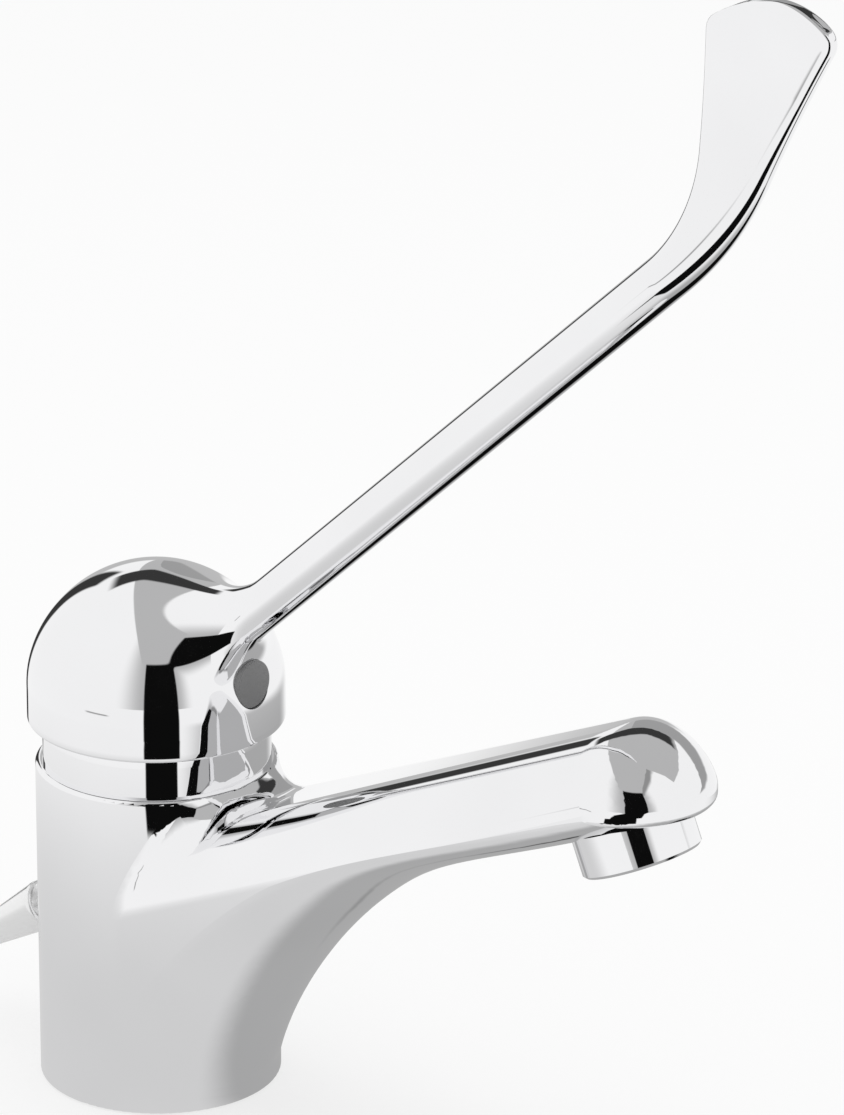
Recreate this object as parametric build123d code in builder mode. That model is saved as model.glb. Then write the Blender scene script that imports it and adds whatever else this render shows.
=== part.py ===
"""Single-lever basin mixer with a long clinical lever.

Millimetres. The origin is the centre of the base on the deck, +Z is up and +X runs out along the
spout and the lever. Each piece is one solid, or one group of like solids, and has its own file.
"""
from build123d import *
from math import asin, atan, copysign, cos, radians, sin, sqrt, tan
import os

os.makedirs("parts", exist_ok=True)

# Fits between pieces
pin_fit = 0.02
slide_fit = 0.05
running_fit = 0.06
loose_fit = 0.3
body_gap = 0.2

# Column of the body
column_radius = 25.0
column_height = 69.5
column_edge = 1.0
foot_edge = 0.6
cavity_radius = 20.5
cavity_depth = 24.0

# Spout: a wedge in plan, with a sloping flat top and a sloping straight underside
spout_reach = 121.4
nose_radius = 17.0
root_half_width = 24.0
crown_angle = 24.1
belly_angle = 22.8
spout_depth = 22.4
crown_over_column = 38.3
spout_edge = 13.0
nose_edge = 1.4
cut_margin = 1.0
valley_radius = 8.0

# Flare that carries the spout's underside down to the base
flare_front = 24.3
flare_lean = 3.2
flare_rise = 20.0
flare_length = 61.7
flare_pull = 37.0
flare_steps = 7
belly_steps = 3

# Cartridge bay, water ways and fixing hole in the body
cartridge_radius = 17.5
bay_depth = 22.5
inlet_offset_x = -3.0
inlet_offset_y = 9.5
inlet_thread_radius = 4.45
inlet_thread_depth = 14.0
port_radius = 3.2
outlet_offset = 9.5
stud_thread_radius = 3.4
stud_thread_depth = 12.0
channel_radius = 4.0
channel_start = (9.0, 31.0)
channel_bend = (42.0, 58.0)
channel_above_belly = 8.0

# Threaded neck of the body, the nut in it and the cover over it
neck_height = 5.0
cover_inset = 1.5
cover_radius = column_radius - cover_inset
cover_wall = 1.5
nut_radius = 19.0
nut_skirt = 14.5
nut_hex_height = 3.5
nut_hex_across_flats = 34.0
pivot_over_column = 6.5
cover_lip_over_pivot = 10.3

# Cartridge, from its base upwards
base_thickness = 4.0
disc_thickness = 3.5
carrier_thickness = 5.0
guide_flange = 1.6
roof_thickness = 2.4
housing_wall = 2.3
fixed_disc_radius = 14.6
moving_disc_radius = 12.0
guide_radius = 11.0
neck_wall = 2.0
neck_top_over_pivot = 3.0
guide_proud = 0.5
seal_thickness = 1.9
seal_radius = 5.0
locating_pin_radius = 1.5
locating_pin_length = 2.0
locating_pin_x = 11.5
locating_pin_y = 10.0
housing_edge = 0.6
rail_gap = 10.6
rail_width = 2.0
rail_half_length = 6.0

# Spindle and its pivot pin
tilt_limit = 18.0
spindle_side = 8.0
spindle_top_over_pivot = 26.0
spindle_edge = 0.8
spindle_arm_radius = 2.0
block_below_pivot = 5.0
ball_radius = 2.8
ball_below_pivot = 15.0
pivot_pin_radius = 1.5
pivot_pin_length = 18.0

# Handle: dome, lever and paddle in one casting
handle_gap = 1.3
handle_wall = 1.7
handle_radius = cover_radius + handle_gap + handle_wall
rim_over_column = 9.0
skirt_height = 7.5
dome_rise = 25.3
dome_side_angle = 15.0
crown_wall = 3.0
rim_edge = 0.6
socket_radius = 9.5
socket_over_pivot = 8.0
socket_depth = 19.0
insert_side = 12.0
insert_height = 17.0
screw_over_pivot = 15.6
screw_radius = 3.0
screw_length = 10.0
screw_key_flats = 3.0
screw_key_depth = 4.0
screw_edge = 0.5
screw_boss_radius = 4.6
boss_overlap = 1.0
rod_diameter = 9.7
rod_angle = 42.4
rod_axis_over_pivot = 7.1
rod_length = 174.0
root_fillet = 8.0
bend_radius = 55.0
bend_angle = 33.0
paddle_length = 32.0
paddle_width = 31.0
paddle_thickness = 3.8
paddle_flare = 1.6
paddle_taper = 46.0
paddle_arch_radius = 25.0
paddle_arch_shift = 1.6
paddle_arch_rise = 2.2
paddle_corner = 3.5
paddle_edge = 1.2
paddle_squareness = 6.0
blade_root = 14.0
blade_overrun = 5.0
blade_steps = 9
section_steps = 16

# Index button, flush with the front of the dome
button_radius = 5.2
button_seat_radius = 6.4
button_seat_front = 22.8
button_seat_back = 22.0
button_seat_gap = 0.9
button_proud = 0.1
button_stem_radius = 2.7
button_stem_length = 4.0

# Aerator under the nose, measured along its own axis
aerator_from_nose = 0.55
aerator_radius = 12.2
aerator_length = 8.6
aerator_opening = 9.0
aerator_edge = 0.6
nozzle_radius = 10.4
nozzle_length = 5.0
nozzle_bore = 8.2
nozzle_depth = 9.0
seat_depth = 1.8
gasket_thickness = 1.2
regulator_wall = 1.2
regulator_flange = 1.0
regulator_height = 6.5
regulator_hub = 1.6
regulator_vane = 0.8
regulator_vanes = 6
screen_thickness = 0.6
screen_pitch = 1.9
screen_bar = 0.6

# Base seal
seal_groove_inner = 21.7
seal_groove_width = 2.2
seal_groove_depth = 1.5

# Waste lever at the back of the column
waste_pivot_x = -17.8
waste_pivot_z = 37.0
waste_slope = 34.0
waste_eye_radius = 3.6
waste_stem_radius = 2.5
waste_arm_radius = 2.1
waste_arm_length = 9.9
knob_start = 15.5
knob_length = 22.0
knob_start_radius = 5.4
knob_end_radius = 3.0
knob_edge = 1.0
waste_pin_radius = 1.5
waste_pin_inner = 8.0
waste_pin_sunk = 1.0
pocket_half_width = 4.2
pocket_inner_x = -7.0
pocket_top = 42.6
window_half_width = 3.2
window_bottom = 26.6
window_top = 38.6
window_depth = 3.0
lift_rod_x = -10.5
lift_rod_radius = 2.0
lift_rod_foot = 6.0
lift_head_depth = 5.0
lift_head_height = 6.4
lift_head_bore = 2.65

# Levels and directions that the pieces share
bay_floor = column_height - bay_depth
bay_radius = cartridge_radius + 3 * slide_fit
pivot_height = column_height + pivot_over_column
rim_height = column_height + rim_over_column
shoulder_height = rim_height + skirt_height
crown_rise = radians(crown_angle)
belly_rise = radians(belly_angle)
nose_tip = spout_reach + nose_radius
down_axis = (sin(belly_rise), 0, -cos(belly_rise))


def crown_height(x):
    """Height of the spout's flat top at a distance from the column's axis."""
    return column_height + crown_over_column + (x - spout_reach) * tan(crown_rise)


def belly_height(x):
    """Height of the spout's straight underside, on the middle plane."""
    belly_at_reach = column_height + crown_over_column - spout_depth
    return belly_at_reach + (x - spout_reach) * tan(belly_rise)


def down_plane(depth):
    """Plane square to the aerator's axis, at a distance below the spout's belly."""
    seat_x = spout_reach + aerator_from_nose
    return Plane(
        origin=(seat_x + depth * down_axis[0], 0, belly_height(seat_x) + depth * down_axis[2]),
        x_dir=(cos(belly_rise), 0, sin(belly_rise)),
        z_dir=down_axis,
    )


# Half angle of the wedge that the spout's side walls make in plan
wall_angle = atan((root_half_width - nose_radius) / spout_reach)
for _ in range(20):
    wall_angle = atan((root_half_width - nose_radius / cos(wall_angle)) / spout_reach)


def nose_round(nose_x):
    """Centre and radius of the circle that touches both side walls and ends at nose_x."""
    centre = (nose_x - root_half_width * cos(wall_angle)) / (1 - sin(wall_angle))
    return centre, (root_half_width - centre * tan(wall_angle)) * cos(wall_angle)


def flare_point(step):
    """Point of the concave front line, from the base at 0 to the straight belly at 1."""
    end_x = flare_front + flare_length
    ends = [
        (flare_front, 0),
        (flare_front + flare_lean, flare_rise),
        (end_x - flare_pull * cos(belly_rise), belly_height(end_x) - flare_pull * sin(belly_rise)),
        (end_x, belly_height(end_x)),
    ]
    weights = [(1 - step) ** 3, 3 * step * (1 - step) ** 2, 3 * step**2 * (1 - step), step**3]
    return tuple(sum(w * point[axis] for w, point in zip(weights, ends)) for axis in (0, 1))


# Spout and flare: level slices whose round nose follows the concave front line
belly_start = flare_front + flare_length
front_line = [flare_point(step / flare_steps) for step in range(flare_steps + 1)]
for step in range(1, belly_steps + 1):
    slice_x = belly_start + (nose_tip - belly_start) * step / belly_steps
    front_line.append((slice_x, belly_height(slice_x)))


def wedge_outline(nose_x):
    """Plan outline of the spout: two side walls that run smoothly into a round nose."""
    centre, radius = nose_round(nose_x)
    wall_end = (centre + radius * sin(wall_angle), radius * cos(wall_angle))
    Line((0, -root_half_width), (wall_end[0], -wall_end[1]))
    ThreePointArc((wall_end[0], -wall_end[1]), (nose_x, 0), wall_end)
    Line(wall_end, (0, root_half_width))
    Line((0, root_half_width), (0, -root_half_width))


with BuildPart() as underside:
    for nose_x, slice_z in front_line:
        with BuildSketch(Plane.XY.offset(slice_z)):
            with BuildLine():
                wedge_outline(nose_x)
            make_face()
    loft()
    extrude(underside.faces().sort_by(Axis.Z)[-1], amount=2 * spout_depth)

with BuildPart() as spout:
    with BuildSketch():
        with BuildLine():
            wedge_outline(nose_tip)
        make_face()
    extrude(amount=crown_height(nose_tip + cut_margin))
    with BuildSketch(Plane.XZ):
        Polygon(
            (-cut_margin, crown_height(-cut_margin)),
            (nose_tip + cut_margin, crown_height(nose_tip + cut_margin)),
            (-cut_margin, crown_height(nose_tip + cut_margin)),
            align=None,
        )
    extrude(amount=2 * root_half_width, both=True, mode=Mode.SUBTRACT)
    crown_normal = Vector(-sin(crown_rise), 0, cos(crown_rise))
    crown = spout.faces().sort_by(lambda face: (face.normal_at() - crown_normal).length)[0]
    fillet([edge for edge in crown.edges() if edge.center().X > cut_margin], radius=spout_edge)
    add(underside.part, mode=Mode.INTERSECT)
    chin = spout.edges().group_by(lambda edge: abs(edge.center().Z - belly_height(nose_tip)))[0]
    fillet(chin, radius=nose_edge)

# Body: column and spout in one casting, with its bay, water ways and waste pocket
with BuildPart() as body:
    Cylinder(column_radius, column_height, align=(Align.CENTER, Align.CENTER, Align.MIN))
    fillet(body.edges().filter_by(GeomType.CIRCLE).sort_by(Axis.Z)[-1], radius=column_edge)
    fillet(body.edges().filter_by(GeomType.CIRCLE).sort_by(Axis.Z)[0], radius=foot_edge)
    add(spout.part)
    valley = [
        edge
        for edge in body.edges().filter_by(GeomType.ELLIPSE)
        if cut_margin < edge.center().X < column_radius and edge.center().Z > crown_height(0)
    ]
    fillet(valley, radius=valley_radius)
    # Neck, nut bore and cartridge bay
    with BuildSketch(Plane.XY.offset(column_height)):
        Circle(cover_radius - cover_wall - slide_fit)
    extrude(amount=neck_height)
    with BuildSketch(Plane.XY.offset(column_height + neck_height)):
        Circle(nut_radius + slide_fit)
    extrude(amount=-nut_skirt, mode=Mode.SUBTRACT)
    with BuildSketch(Plane.XY.offset(bay_floor)):
        Circle(bay_radius)
    extrude(amount=bay_depth, mode=Mode.SUBTRACT)
    # Hollow foot and the groove of its seal
    with BuildSketch():
        Circle(cavity_radius)
    extrude(amount=cavity_depth, mode=Mode.SUBTRACT)
    with BuildSketch():
        Circle(seal_groove_inner + seal_groove_width)
        Circle(seal_groove_inner, mode=Mode.SUBTRACT)
    extrude(amount=seal_groove_depth, mode=Mode.SUBTRACT)
    # Inlets, stud hole and the holes of the cartridge's locating pins
    with BuildSketch(Plane.XY.offset(cavity_depth)):
        with Locations((inlet_offset_x, inlet_offset_y), (inlet_offset_x, -inlet_offset_y)):
            Circle(inlet_thread_radius)
    extrude(amount=inlet_thread_depth, mode=Mode.SUBTRACT)
    with BuildSketch(Plane.XY.offset(cavity_depth)):
        with Locations((inlet_offset_x, inlet_offset_y), (inlet_offset_x, -inlet_offset_y)):
            Circle(port_radius)
    extrude(amount=bay_floor - cavity_depth, mode=Mode.SUBTRACT)
    with BuildSketch(Plane.XY.offset(cavity_depth)):
        Circle(stud_thread_radius)
    extrude(amount=stud_thread_depth, mode=Mode.SUBTRACT)
    with BuildSketch(Plane.XY.offset(bay_floor)):
        with Locations((locating_pin_x, locating_pin_y), (locating_pin_x, -locating_pin_y)):
            Circle(locating_pin_radius + slide_fit)
    extrude(amount=-locating_pin_length - loose_fit, mode=Mode.SUBTRACT)
    # Outlet port and the water way along the spout
    channel_low = Vector(channel_start[0], 0, channel_start[1])
    channel_mid = Vector(channel_bend[0], 0, channel_bend[1])
    channel_end = down_plane(-channel_above_belly).origin
    with BuildSketch(Plane.XY.offset(bay_floor)):
        with Locations((outlet_offset, 0)):
            Circle(port_radius)
    extrude(amount=channel_start[1] - bay_floor, mode=Mode.SUBTRACT)
    for run_start, run_end in ((channel_low, channel_mid), (channel_mid, channel_end)):
        with BuildSketch(Plane(origin=run_start, x_dir=(0, 1, 0), z_dir=run_end - run_start)):
            Circle(channel_radius)
        extrude(amount=(run_end - run_start).length, mode=Mode.SUBTRACT)
    with Locations(channel_mid):
        Sphere(channel_radius, mode=Mode.SUBTRACT)
    # Seat, threaded nozzle and bore for the aerator
    with BuildSketch(down_plane(-seat_depth)):
        Circle(aerator_radius + slide_fit)
    extrude(amount=seat_depth + spout_depth, mode=Mode.SUBTRACT)
    with BuildSketch(down_plane(-seat_depth)):
        Circle(nozzle_radius)
    extrude(amount=nozzle_length)
    with BuildSketch(down_plane(nozzle_length - seat_depth)):
        Circle(nozzle_bore)
    extrude(amount=-nozzle_length - nozzle_depth, mode=Mode.SUBTRACT)
    # Pocket, window and pin hole of the waste lever
    with BuildSketch(Plane.XY.offset(cavity_depth)):
        with Locations((pocket_inner_x, 0)):
            Rectangle(
                column_radius - window_depth + pocket_inner_x,
                2 * pocket_half_width,
                align=(Align.MAX, Align.CENTER),
            )
    extrude(amount=pocket_top - cavity_depth, mode=Mode.SUBTRACT)
    with BuildSketch(Plane.YZ.offset(-column_radius - window_depth)):
        with Locations((0, (window_bottom + window_top) / 2)):
            SlotOverall(window_top - window_bottom, 2 * window_half_width, rotation=90)
    extrude(amount=3 * window_depth, mode=Mode.SUBTRACT)
    with BuildSketch(Plane.XZ.offset(waste_pin_inner)):
        with Locations((waste_pivot_x, waste_pivot_z)):
            Circle(waste_pin_radius + pin_fit)
    extrude(amount=-waste_pin_inner - column_radius, mode=Mode.SUBTRACT)

with BuildPart() as base_seal:
    with BuildSketch():
        Circle(seal_groove_inner + seal_groove_width - slide_fit)
        Circle(seal_groove_inner + slide_fit, mode=Mode.SUBTRACT)
    extrude(amount=seal_groove_depth - slide_fit)

# Cover: a skirt over the neck and a round cap about the lever's pivot
cover_bore = cover_radius - cover_wall


def cap_point(radius, share):
    """Point of a cap of this radius, from the skirt at 0 up to the lip at 1."""
    turn = share * asin(cover_lip_over_pivot / radius)
    return radius * cos(turn), pivot_height + radius * sin(turn)


with BuildPart() as cover_ring:
    with BuildSketch(Plane.XZ):
        with BuildLine():
            Line((cover_bore, pivot_height), (cover_bore, column_height))
            Line((cover_bore, column_height), (cover_radius, column_height))
            Line((cover_radius, column_height), (cover_radius, pivot_height))
            ThreePointArc(*[cap_point(cover_radius, share) for share in (0, 0.5, 1)])
            Line(cap_point(cover_radius, 1), cap_point(cover_bore, 1))
            ThreePointArc(*[cap_point(cover_bore, share) for share in (1, 0.5, 0)])
        make_face()
    revolve(axis=Axis.Z)

# Cartridge levels, from the floor of the bay upwards
fixed_disc_level = bay_floor + base_thickness
moving_disc_level = fixed_disc_level + disc_thickness
carrier_level = moving_disc_level + disc_thickness
flange_level = carrier_level + carrier_thickness + loose_fit
roof_level = flange_level + guide_flange + body_gap
shoulder_level = roof_level + roof_thickness
neck_top = pivot_height + neck_top_over_pivot
neck_radius = guide_radius + neck_wall
housing_bore = cartridge_radius - housing_wall
disc_stroke = ball_below_pivot * sin(radians(tilt_limit))
disc_rest = -disc_stroke / 2

with BuildPart() as retaining_nut:
    with BuildSketch(Plane.XY.offset(column_height + neck_height - nut_skirt)):
        Circle(nut_radius)
    extrude(amount=nut_skirt)
    with BuildSketch(Plane.XY.offset(column_height + neck_height)):
        RegularPolygon(nut_hex_across_flats / 2, 6, major_radius=False)
    extrude(amount=nut_hex_height)
    with BuildSketch(Plane.XY.offset(shoulder_level)):
        Circle(cartridge_radius + slide_fit)
    extrude(amount=-column_height, mode=Mode.SUBTRACT)
    with BuildSketch(Plane.XY.offset(shoulder_level)):
        Circle(neck_radius + loose_fit)
    extrude(amount=column_height, mode=Mode.SUBTRACT)

ports = ((inlet_offset_x, inlet_offset_y), (inlet_offset_x, -inlet_offset_y), (outlet_offset, 0))

with BuildPart() as cartridge_base:
    with BuildSketch(Plane.XY.offset(bay_floor)):
        Circle(cartridge_radius - slide_fit)
    extrude(amount=base_thickness)
    with BuildSketch(Plane.XY.offset(bay_floor)):
        with Locations((locating_pin_x, locating_pin_y), (locating_pin_x, -locating_pin_y)):
            Circle(locating_pin_radius)
    extrude(amount=-locating_pin_length)
    with BuildSketch(Plane.XY.offset(bay_floor)):
        with Locations(*ports):
            Circle(port_radius)
    extrude(amount=base_thickness, mode=Mode.SUBTRACT)
    with BuildSketch(Plane.XY.offset(bay_floor)):
        with Locations(*ports):
            Circle(seal_radius + seal_thickness / 2 + slide_fit)
    extrude(amount=seal_thickness + slide_fit, mode=Mode.SUBTRACT)

with BuildPart() as port_seals:
    for port in ports:
        with Locations((port[0], port[1], bay_floor + seal_thickness / 2)):
            Torus(seal_radius, seal_thickness / 2)

with BuildPart() as fixed_disc:
    with BuildSketch(Plane.XY.offset(fixed_disc_level)):
        Circle(fixed_disc_radius)
        with Locations(*ports):
            Circle(port_radius, mode=Mode.SUBTRACT)
    extrude(amount=disc_thickness)

# Moving disc: a cross-shaped mixing chamber in its underside
with BuildPart() as moving_disc:
    with BuildSketch(Plane.XY.offset(moving_disc_level)):
        with Locations((disc_rest, 0)):
            Circle(moving_disc_radius)
    extrude(amount=disc_thickness)
    with BuildSketch(Plane.XY.offset(moving_disc_level)):
        with Locations((inlet_offset_x - disc_stroke, 0)):
            SlotOverall(2 * inlet_offset_y, port_radius, rotation=90)
        with Locations(((inlet_offset_x + outlet_offset) / 2 - disc_stroke, 0)):
            SlotOverall(outlet_offset - inlet_offset_x + port_radius, 2 * port_radius)
    extrude(amount=disc_thickness / 2, mode=Mode.SUBTRACT)

# Carrier: sits on the moving disc, runs between the guide's rails and is moved by the ball
with BuildPart() as disc_carrier:
    with BuildSketch(Plane.XY.offset(carrier_level)):
        with Locations((disc_rest, 0)):
            Circle(moving_disc_radius)
            Rectangle(3 * moving_disc_radius, 2 * rail_gap, mode=Mode.INTERSECT)
        Rectangle(
            2 * ball_radius + loose_fit, 2 * ball_radius + loose_fit, mode=Mode.SUBTRACT
        )
    extrude(amount=carrier_thickness)

with BuildPart() as cartridge_housing:
    with BuildSketch(Plane.XY.offset(fixed_disc_level)):
        Circle(cartridge_radius)
        Circle(housing_bore, mode=Mode.SUBTRACT)
    extrude(amount=roof_level - fixed_disc_level)
    with BuildSketch(Plane.XY.offset(roof_level)):
        Circle(cartridge_radius)
    extrude(amount=roof_thickness)
    with BuildSketch(Plane.XY.offset(shoulder_level)):
        Circle(neck_radius)
    extrude(amount=neck_top - shoulder_level)
    with BuildSketch(Plane.XY.offset(roof_level)):
        Circle(guide_radius + running_fit)
    extrude(amount=neck_top - roof_level, mode=Mode.SUBTRACT)
    chamfer(cartridge_housing.edges().group_by(Axis.Z)[-1].sort_by(SortBy.LENGTH)[-1], length=housing_edge)

# Guide: turns in the housing, holds the pivot pin and leads the carrier
slot_back = spindle_side / 2 + (neck_top_over_pivot + guide_proud) * tan(radians(tilt_limit)) + 1
slot_front = spindle_side / 2 + ball_below_pivot * tan(radians(tilt_limit)) - 0.5
guide_top = neck_top + guide_proud
with BuildPart() as spindle_guide:
    with BuildSketch(Plane.XY.offset(flange_level)):
        Circle(housing_bore - loose_fit)
    extrude(amount=guide_flange)
    with BuildSketch(Plane.XY.offset(flange_level + guide_flange)):
        Circle(guide_radius)
    extrude(amount=guide_top - flange_level - guide_flange)
    with BuildSketch(Plane.XY.offset(flange_level)):
        with Locations((0, rail_gap + loose_fit), (0, -rail_gap - loose_fit - rail_width)):
            Rectangle(2 * rail_half_length, rail_width, align=(Align.CENTER, Align.MIN))
    extrude(amount=-carrier_thickness)
    with BuildSketch(Plane.XY.offset(flange_level)):
        with Locations(((slot_front - slot_back) / 2, 0)):
            Rectangle(slot_front + slot_back, spindle_side + 2 * body_gap)
    extrude(amount=guide_top - flange_level, mode=Mode.SUBTRACT)
    with BuildSketch(Plane.XZ.offset(-pivot_pin_length / 2)):
        with Locations((0, pivot_height)):
            Circle(pivot_pin_radius + pin_fit)
    extrude(amount=pivot_pin_length + guide_radius, mode=Mode.SUBTRACT)

with BuildPart() as pivot_pin:
    with BuildSketch(Plane.XZ.offset(-pivot_pin_length / 2)):
        with Locations((0, pivot_height)):
            Circle(pivot_pin_radius)
    extrude(amount=pivot_pin_length)

# Spindle: square stem, pin hole and a ball that moves the carrier
with BuildPart() as spindle:
    with BuildSketch(Plane.XY.offset(pivot_height - block_below_pivot)):
        Rectangle(spindle_side, spindle_side)
    extrude(amount=block_below_pivot + spindle_top_over_pivot)
    chamfer(spindle.faces().sort_by(Axis.Z)[-1].edges(), length=spindle_edge)
    with BuildSketch(Plane.XY.offset(pivot_height - ball_below_pivot)):
        Circle(spindle_arm_radius)
    extrude(amount=ball_below_pivot - block_below_pivot)
    with Locations((0, 0, pivot_height - ball_below_pivot)):
        Sphere(ball_radius)
    with BuildSketch(Plane.XZ.offset(-spindle_side)):
        with Locations((0, pivot_height)):
            Circle(pivot_pin_radius + running_fit)
    extrude(amount=2 * spindle_side, mode=Mode.SUBTRACT)

# Lever: a straight rod that bends up into a flat paddle, on the middle plane
rod_rise = radians(rod_angle)
rod_base = Vector(0, 0, pivot_height + rod_axis_over_pivot)
bend_start = rod_base + Vector(cos(rod_rise), 0, sin(rod_rise)) * rod_length
blade_length = bend_radius * radians(bend_angle) + paddle_length


def lever_plane(distance):
    """Plane across the lever at a distance beyond the start of the bend."""
    turned = min(max(distance / bend_radius, 0), radians(bend_angle))
    straight = distance - turned * bend_radius
    slope = rod_rise + turned
    x = bend_start.X + bend_radius * (sin(slope) - sin(rod_rise)) + straight * cos(slope)
    z = bend_start.Z + bend_radius * (cos(rod_rise) - cos(slope)) + straight * sin(slope)
    return Plane(origin=(x, 0, z), x_dir=(sin(slope), 0, -cos(slope)), z_dir=(cos(slope), 0, sin(slope)))


def lever_width(distance):
    """Width of the lever in the plane of its bend."""
    share = max(distance, 0) / blade_length
    return rod_diameter + (paddle_width - rod_diameter) * share**paddle_flare


def lever_thickness(distance):
    """Thickness of the lever across the plane of its bend."""
    share = max(1 - max(distance, 0) / paddle_taper, 0)
    return paddle_thickness + (rod_diameter - paddle_thickness) * share**paddle_flare


def lever_section(distance):
    """Points round the lever's section, which goes from a circle to a soft rectangle."""
    share = min((distance + blade_root) / (blade_length + blade_root), 1)
    power = 2 / (2 + (paddle_squareness - 2) * share)
    half_width = lever_width(distance) / 2
    half_thickness = lever_thickness(distance) / 2
    points = []
    for step in range(section_steps):
        across = cos(radians(360 * step / section_steps))
        through = sin(radians(360 * step / section_steps))
        points.append((
            half_width * copysign(abs(across) ** power, across),
            half_thickness * copysign(abs(through) ** power, through),
        ))
    return points


blade_sections = [-blade_root / 2]
blade_sections += [(blade_length + blade_overrun) * step / blade_steps for step in range(blade_steps + 1)]

# Arched end of the paddle, with rounded corners
start_plane = lever_plane(blade_length - paddle_length / 2)
finish_plane = lever_plane(blade_length + blade_overrun)
arch_top = lever_plane(blade_length).origin + Vector(paddle_arch_shift, 0, paddle_arch_rise)


def paddle_side(plane, reach):
    """Point on the middle plane at a reach to one side of the lever's middle line."""
    point = plane.from_local_coords((reach, 0, 0))
    return point.X, point.Z


start_half = lever_width(blade_length - paddle_length / 2) / 2 + loose_fit
finish_half = lever_width(blade_length + blade_overrun) / 2 + loose_fit
with BuildSketch(Plane.XZ) as paddle_outline:
    Polygon(
        paddle_side(start_plane, -start_half),
        paddle_side(start_plane, start_half),
        paddle_side(finish_plane, finish_half),
        paddle_side(finish_plane, -finish_half),
        align=None,
    )
    with Locations((arch_top.X, arch_top.Z - paddle_arch_radius)):
        Circle(paddle_arch_radius, mode=Mode.INTERSECT)
    fillet(paddle_outline.vertices().sort_by(Axis.Y)[-2:], radius=paddle_corner)

with BuildPart() as lever:
    with BuildSketch(lever_plane(-blade_root)):
        Circle(rod_diameter / 2)
    for distance in blade_sections:
        with BuildSketch(lever_plane(distance)):
            with BuildLine():
                Spline(*lever_section(distance), periodic=True)
            make_face()
    loft()
    with BuildSketch(Plane.XZ):
        Polygon(
            paddle_side(start_plane, -paddle_width),
            paddle_side(start_plane, paddle_width),
            paddle_side(finish_plane, paddle_width),
            paddle_side(finish_plane, -paddle_width),
            align=None,
        )
        add(paddle_outline.sketch, mode=Mode.SUBTRACT)
    extrude(amount=handle_radius, both=True, mode=Mode.SUBTRACT)
    lever_ends = lever.faces().filter_by(GeomType.CYLINDER)
    end_loops = [
        edge
        for edge in lever_ends.edges()
        if sum(edge.is_same(other) for other in lever_ends.edges()) == 1
    ]
    fillet(end_loops, radius=paddle_edge)


def dome_outline(radius, rise):
    """Half outline of a dome on a straight skirt: a side arc runs smoothly into a crown arc."""
    side_turn = radians(dome_side_angle)
    side_centre = (radius - rise) / (1 + tan(side_turn) - 1 / cos(side_turn))
    side_radius = radius - side_centre
    crown_centre = shoulder_height - side_centre * tan(side_turn)
    crown_radius = shoulder_height + rise - crown_centre
    crown_turn = (radians(90) + side_turn) / 2
    joint = (crown_radius * cos(side_turn), crown_centre + crown_radius * sin(side_turn))
    Line((0, rim_height), (radius, rim_height))
    Line((radius, rim_height), (radius, shoulder_height))
    ThreePointArc(
        (radius, shoulder_height),
        (
            side_centre + side_radius * cos(side_turn / 2),
            shoulder_height + side_radius * sin(side_turn / 2),
        ),
        joint,
    )
    ThreePointArc(
        joint,
        (crown_radius * cos(crown_turn), crown_centre + crown_radius * sin(crown_turn)),
        (0, shoulder_height + rise),
    )
    Line((0, shoulder_height + rise), (0, rim_height))


# Handle: hollow dome, lever, spindle socket and screw boss in one casting
screw_level = pivot_height + screw_over_pivot
socket_level = pivot_height + socket_over_pivot
inner_radius = handle_radius - handle_wall
inner_rise = dome_rise - crown_wall
with BuildPart() as handle:
    with BuildSketch(Plane.XZ):
        with BuildLine():
            dome_outline(handle_radius, dome_rise)
        make_face()
    revolve(axis=Axis.Z)
    with BuildSketch(Plane(origin=rod_base, x_dir=(0, 1, 0), z_dir=(cos(rod_rise), 0, sin(rod_rise)))):
        Circle(rod_diameter / 2)
    extrude(amount=rod_length - blade_root)
    root = handle.edges().filter_by(GeomType.BSPLINE)
    fillet(root, radius=root_fillet)
    add(lever.part)
    with BuildSketch(Plane.XZ):
        with BuildLine():
            dome_outline(inner_radius, inner_rise)
        make_face()
    revolve(axis=Axis.Z, mode=Mode.SUBTRACT)
    rim = handle.faces().filter_by(Plane.XY).sort_by(Axis.Z)[0]
    fillet(rim.edges(), radius=rim_edge)
    # Socket of the spindle and boss of the screw, inside the dome
    with BuildSketch(Plane.XY.offset(socket_level)):
        Circle(socket_radius)
    extrude(amount=shoulder_height + inner_rise - socket_level)
    with BuildSketch(Plane.YZ.offset(socket_radius - boss_overlap)):
        with Locations((0, screw_level)):
            Circle(screw_boss_radius)
    extrude(amount=button_seat_back - socket_radius + 2 * boss_overlap)
    with BuildSketch(Plane.YZ.offset(button_seat_back)):
        with Locations((0, screw_level)):
            Circle(button_seat_radius)
    extrude(amount=inner_radius - button_seat_back - button_seat_gap)
    with BuildSketch(Plane.XY.offset(socket_level)):
        Rectangle(insert_side + 2 * slide_fit, insert_side + 2 * slide_fit)
    extrude(amount=socket_depth, mode=Mode.SUBTRACT)
    with BuildSketch(Plane.YZ.offset(spindle_side / 2)):
        with Locations((0, screw_level)):
            Circle(screw_radius + slide_fit)
    extrude(amount=handle_radius, mode=Mode.SUBTRACT)
    with BuildSketch(Plane.YZ.offset(button_seat_front)):
        with Locations((0, screw_level)):
            Circle(button_radius + slide_fit)
    extrude(amount=handle_radius, mode=Mode.SUBTRACT)

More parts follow.
